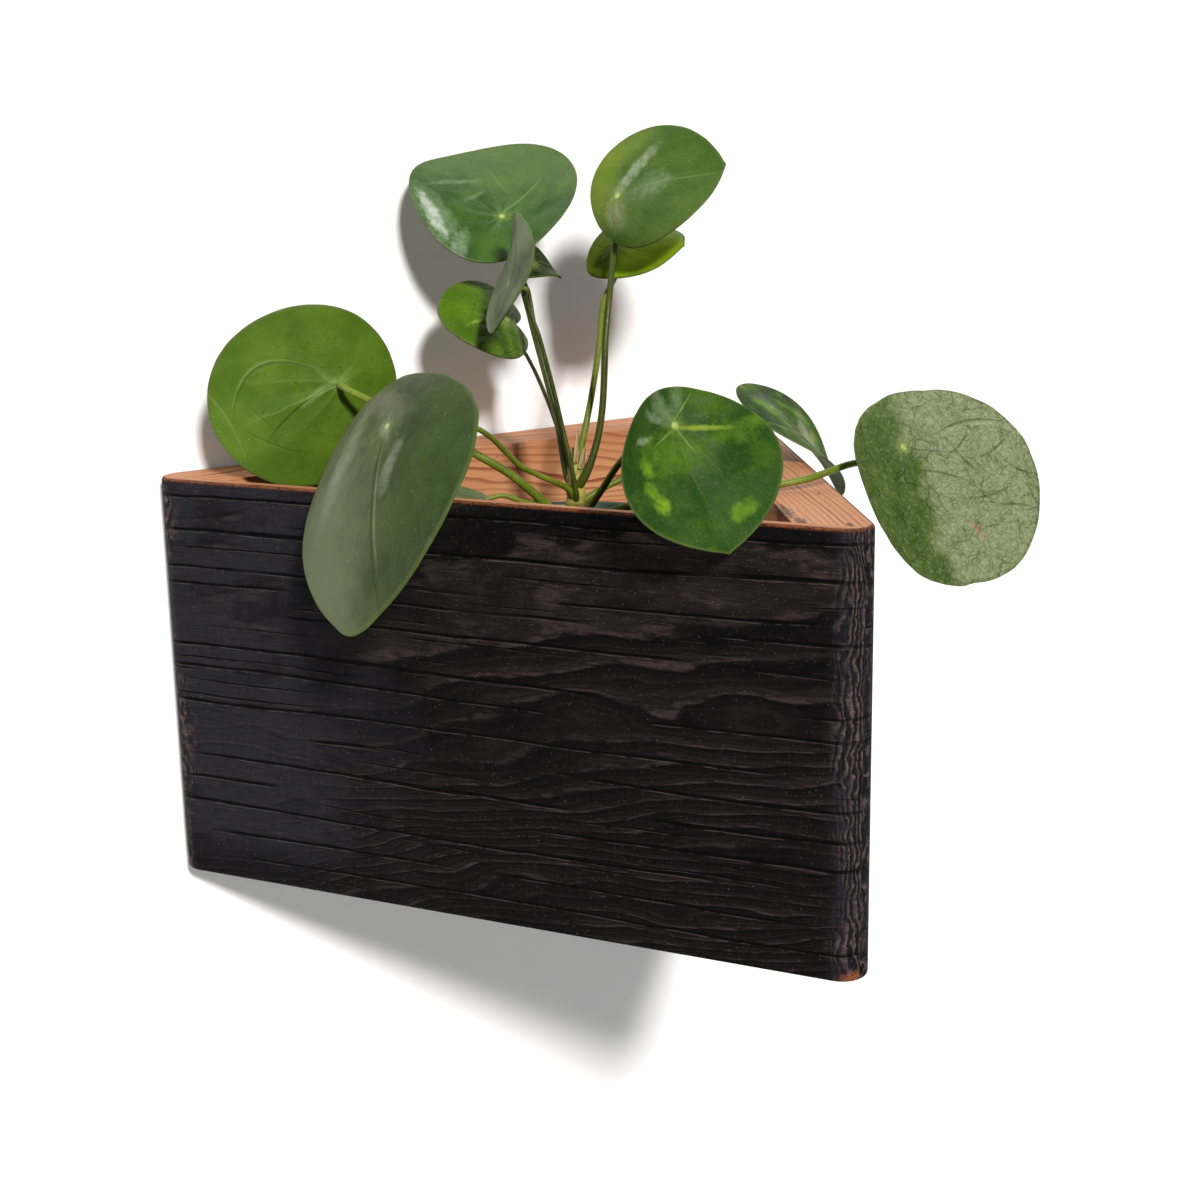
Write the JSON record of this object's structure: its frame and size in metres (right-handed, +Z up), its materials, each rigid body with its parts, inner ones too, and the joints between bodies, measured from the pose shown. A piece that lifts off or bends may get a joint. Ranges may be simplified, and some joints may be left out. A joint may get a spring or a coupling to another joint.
{
  "type": "potted pilea plant",
  "caption": "Round-leaved pilea on long stalks in a nursery pot, inside a triangular charred-wood planter that hangs flat on a wall.",
  "frame": {"origin": "centre of the planter's flat back face, on the wall", "axes": "+Y goes into the wall, +Z is up and +X is to the right as seen from the room"},
  "size_m": [0.286, 0.2503, 0.2889],
  "materials": {
    "charred_wood": "charred and brushed, dull satin",
    "natural_wood": "brushed fir, thin oil",
    "steel": "zinc plated",
    "pot_plastic": "moulded, satin",
    "soil": "loose and rough",
    "stem_green": "dull, scarred",
    "stalk_green": "smooth, fleshy",
    "leaf_green": "waxy satin"
  },
  "bodies": {
    "root": {"front_board": "charred_wood", "side_board": "natural_wood", "base_panel": "natural_wood", "wall_board": "natural_wood", "hanging_cleat": "natural_wood", "cleat_screw_1": "steel", "cleat_screw_2": "steel", "cleat_screw_3": "steel", "cleat_screw_4": "steel", "nursery_pot": "pot_plastic", "main_stem": "stem_green", "soil": "soil", "leaf_upper_left": "leaf_green", "stalk_upper_left": "stalk_green", "leaf_folded": "leaf_green", "stalk_folded": "stalk_green", "leaf_small_dark": "leaf_green", "stalk_small_dark": "stalk_green", "leaf_small_bitten": "leaf_green", "stalk_small_bitten": "stalk_green", "leaf_upper_right": "leaf_green", "stalk_upper_right": "stalk_green", "leaf_under_right": "leaf_green", "stalk_under_right": "stalk_green", "leaf_left": "leaf_green", "stalk_left": "stalk_green", "leaf_drooping": "leaf_green", "stalk_drooping": "stalk_green", "leaf_low": "leaf_green", "stalk_low": "stalk_green", "leaf_mottled": "leaf_green", "stalk_mottled": "stalk_green", "leaf_behind": "leaf_green", "stalk_behind": "stalk_green", "leaf_right": "leaf_green", "stalk_right": "stalk_green"}
  },
  "joints": []
}
